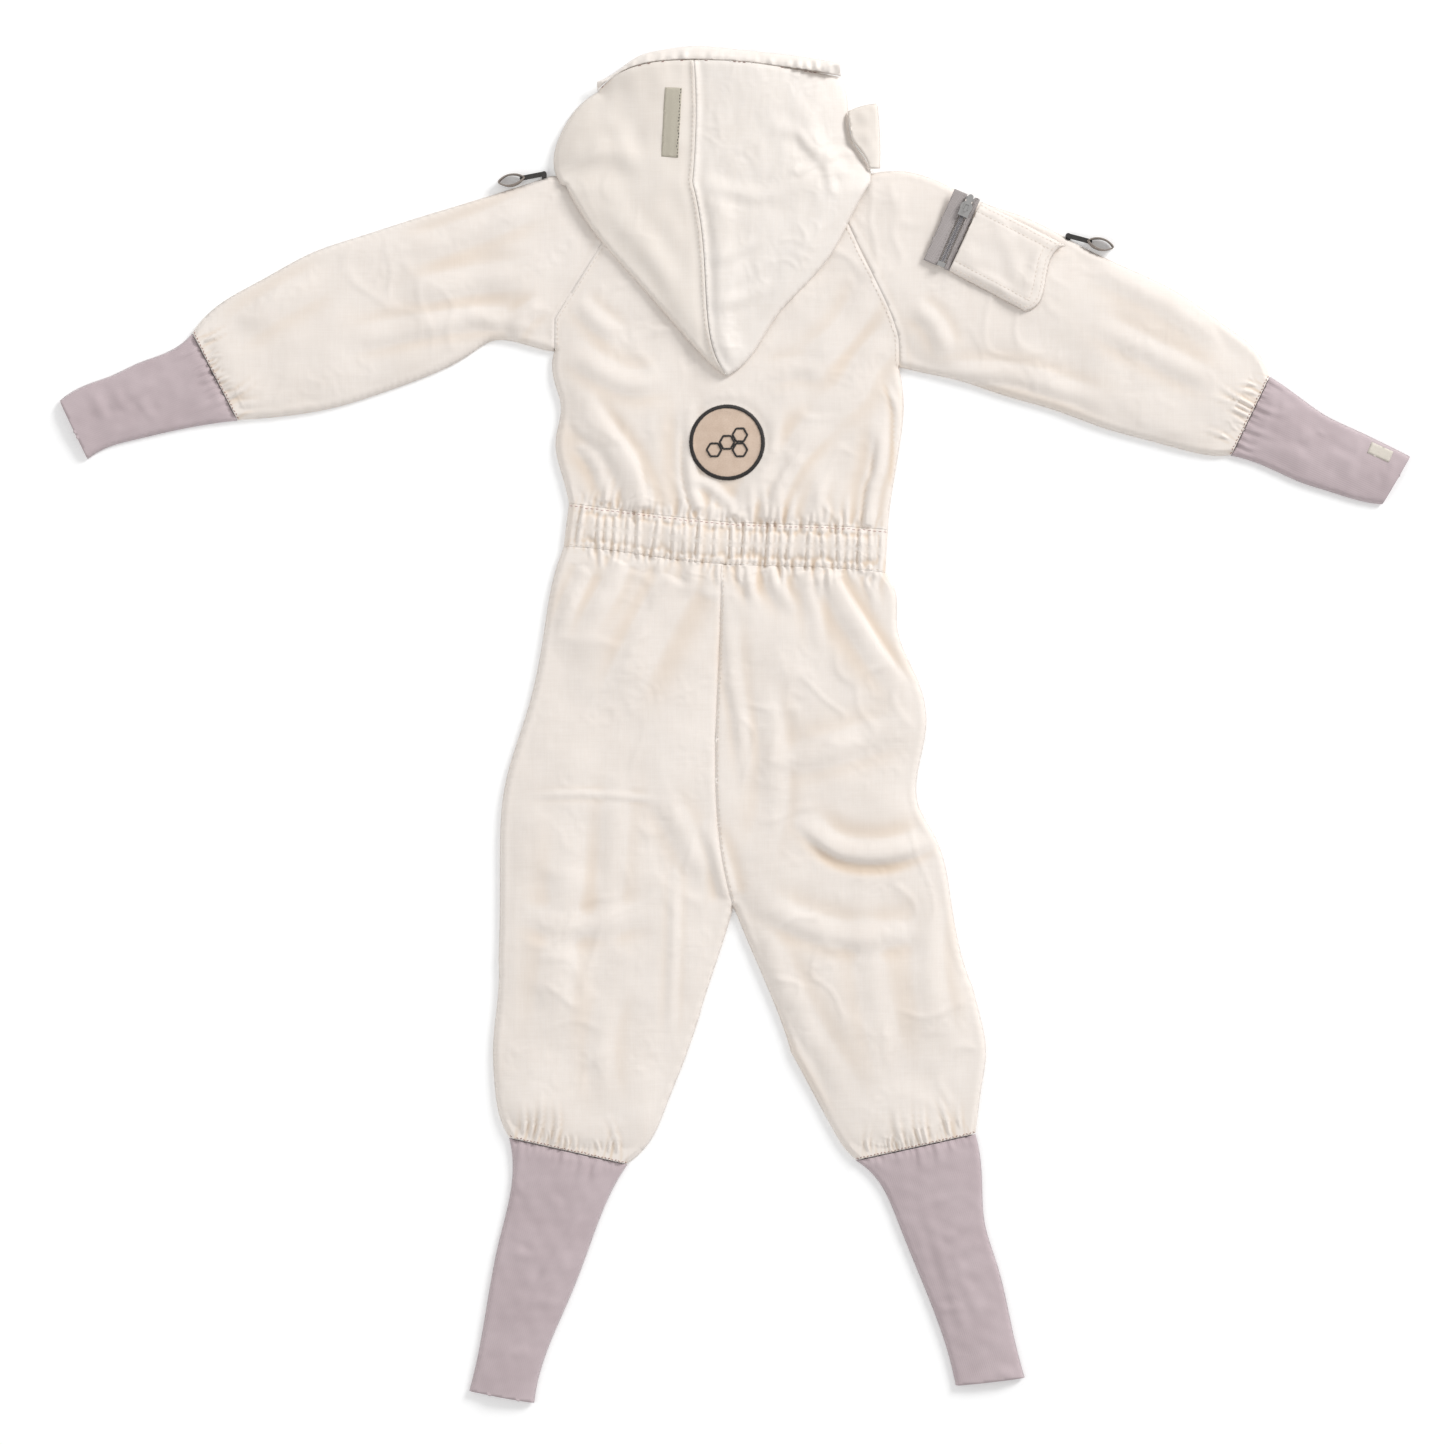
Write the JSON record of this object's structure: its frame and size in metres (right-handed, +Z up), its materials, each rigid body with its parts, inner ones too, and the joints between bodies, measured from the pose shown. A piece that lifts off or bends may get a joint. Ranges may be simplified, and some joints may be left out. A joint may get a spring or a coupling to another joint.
{
  "type": "hooded coverall",
  "caption": "Hooded canvas coverall laid flat on its front, with rib-knit cuffs, an elastic back waist, a front zip, a zipped sleeve pocket and ribbon loops.",
  "frame": {"origin": "centre of the outline, on the surface that the suit lies on", "axes": "+Y towards the hood, +X towards the suit's right sleeve, +Z up from the surface, with the suit's front down"},
  "size_m": [1.016, 1.0198, 0.0218],
  "materials": {
    "canvas": "undyed cotton twill with a soft sheen",
    "hood_cotton_lining": "plain cotton",
    "mauve_rib": "fine rib knit",
    "elastic": "woven elastic",
    "patch_felt": "twill with close stitching",
    "patch_thread": "satin stitch",
    "woven_label": "flat woven tape",
    "grey_tape": "herringbone tape",
    "zip_coil": "nylon coil",
    "zip_metal": "dull nickel",
    "gunmetal": "satin gunmetal",
    "loop_ribbon": "grosgrain",
    "loop_webbing": "dense webbing"
  },
  "bodies": {
    "suit": {"bodice_back": "canvas", "bodice_front_left": "canvas", "bodice_front_right": "canvas", "left_shoulder_cap": "canvas", "right_shoulder_cap": "canvas", "left_side_seam": "canvas", "right_side_seam": "canvas", "inseam": "canvas", "waistband_casing": "canvas", "waist_elastic": "elastic", "waistband_front": "canvas", "trouser_back_left": "canvas", "trouser_back_right": "canvas", "trouser_front_left": "canvas", "trouser_front_right": "canvas", "hood_left_brim": "canvas", "hood_right_brim": "canvas", "hood_hem": "canvas", "hood_left_side": "canvas", "hood_right_side": "canvas", "chin_flap": "canvas", "patch_ground": "patch_felt", "patch_border": "patch_thread", "patch_emblem": "patch_thread", "hood_label": "woven_label", "front_zip_tapes": "grey_tape", "front_zip_coils": "zip_coil", "front_zip_stops": "zip_metal"},
    "hood_point": {"hood_left_panel": "canvas", "hood_right_panel": "canvas", "hood_lining": "hood_cotton_lining"},
    "left_arm": {"left_sleeve": "canvas", "left_cuff": "mauve_rib", "left_loop_anchor": "loop_webbing"},
    "right_arm": {"right_sleeve": "canvas", "right_cuff": "mauve_rib", "cuff_label": "woven_label", "pocket_bag": "canvas", "pocket_zip_wide_tape": "grey_tape", "pocket_zip_narrow_tape": "grey_tape", "pocket_zip_coils": "zip_coil", "pocket_zip_stops": "zip_metal", "right_loop_anchor": "loop_webbing"},
    "left_lower_leg": {"left_shin": "canvas", "left_ankle_cuff": "mauve_rib"},
    "right_lower_leg": {"right_shin": "canvas", "right_ankle_cuff": "mauve_rib"},
    "front_slider": {"front_zip_slider": "zip_metal"},
    "front_pull": {"front_zip_pull": "zip_metal"},
    "pocket_slider": {"pocket_zip_slider": "zip_metal"},
    "pocket_pull": {"pocket_zip_pull": "zip_metal"},
    "left_loop": {"left_loop_tab": "gunmetal", "left_loop_ribbon": "loop_ribbon"},
    "right_loop": {"right_loop_tab": "gunmetal", "right_loop_ribbon": "loop_ribbon"}
  },
  "joints": [
    {"name": "left_sleeve_fold", "type": "hinge", "parent": "suit", "child": "left_arm", "pos_m": [-0.138, 0.347, 0.0107], "axis": [0, 1, 0], "range_deg": [0, 105]},
    {"name": "right_sleeve_fold", "type": "hinge", "parent": "suit", "child": "right_arm", "pos_m": [0.124, 0.343, 0.0107], "axis": [0, -1, 0], "range_deg": [0, 105]},
    {"name": "left_knee", "type": "hinge", "parent": "suit", "child": "left_lower_leg", "pos_m": [-0.1019, -0.1965, 0.0107], "axis": [-0.9668, 0.2554, 0], "range_deg": [0, 120]},
    {"name": "right_knee", "type": "hinge", "parent": "suit", "child": "right_lower_leg", "pos_m": [0.1096, -0.2195, 0.0107], "axis": [-0.9438, -0.3304, 0], "range_deg": [0, 120]},
    {"name": "hood_lift", "type": "hinge", "parent": "suit", "child": "hood_point", "pos_m": [-0.014, 0.405, 0.0215], "axis": [-1, 0, 0], "range_deg": [0, 100]},
    {"name": "front_zip_slide", "type": "slide", "parent": "suit", "child": "front_slider", "axis": [0, -1, 0], "range_m": [0, 0.415]},
    {"name": "front_pull_swing", "type": "hinge", "parent": "front_slider", "child": "front_pull", "pos_m": [-0.005, 0.375, 0.0014], "axis": [1, 0, 0], "range_deg": [0, 120]},
    {"name": "pocket_zip_slide", "type": "slide", "parent": "right_arm", "child": "pocket_slider", "axis": [-0.4023, -0.9155, 0], "range_m": [0, 0.036]},
    {"name": "pocket_pull_swing", "type": "hinge", "parent": "pocket_slider", "child": "pocket_pull", "pos_m": [0.17272, 0.38668, 0.0162], "axis": [0.9155, -0.4023, 0], "range_deg": [0, 165]},
    {"name": "left_loop_swing", "type": "hinge", "parent": "left_arm", "child": "left_loop", "pos_m": [-0.1435, 0.4145, 0.0032], "axis": [0, 0, -1], "range_deg": [0, 80]},
    {"name": "right_loop_swing", "type": "hinge", "parent": "right_arm", "child": "right_loop", "pos_m": [0.2505, 0.368, 0.0032], "axis": [0, 0, 1], "range_deg": [0, 80]}
  ]
}
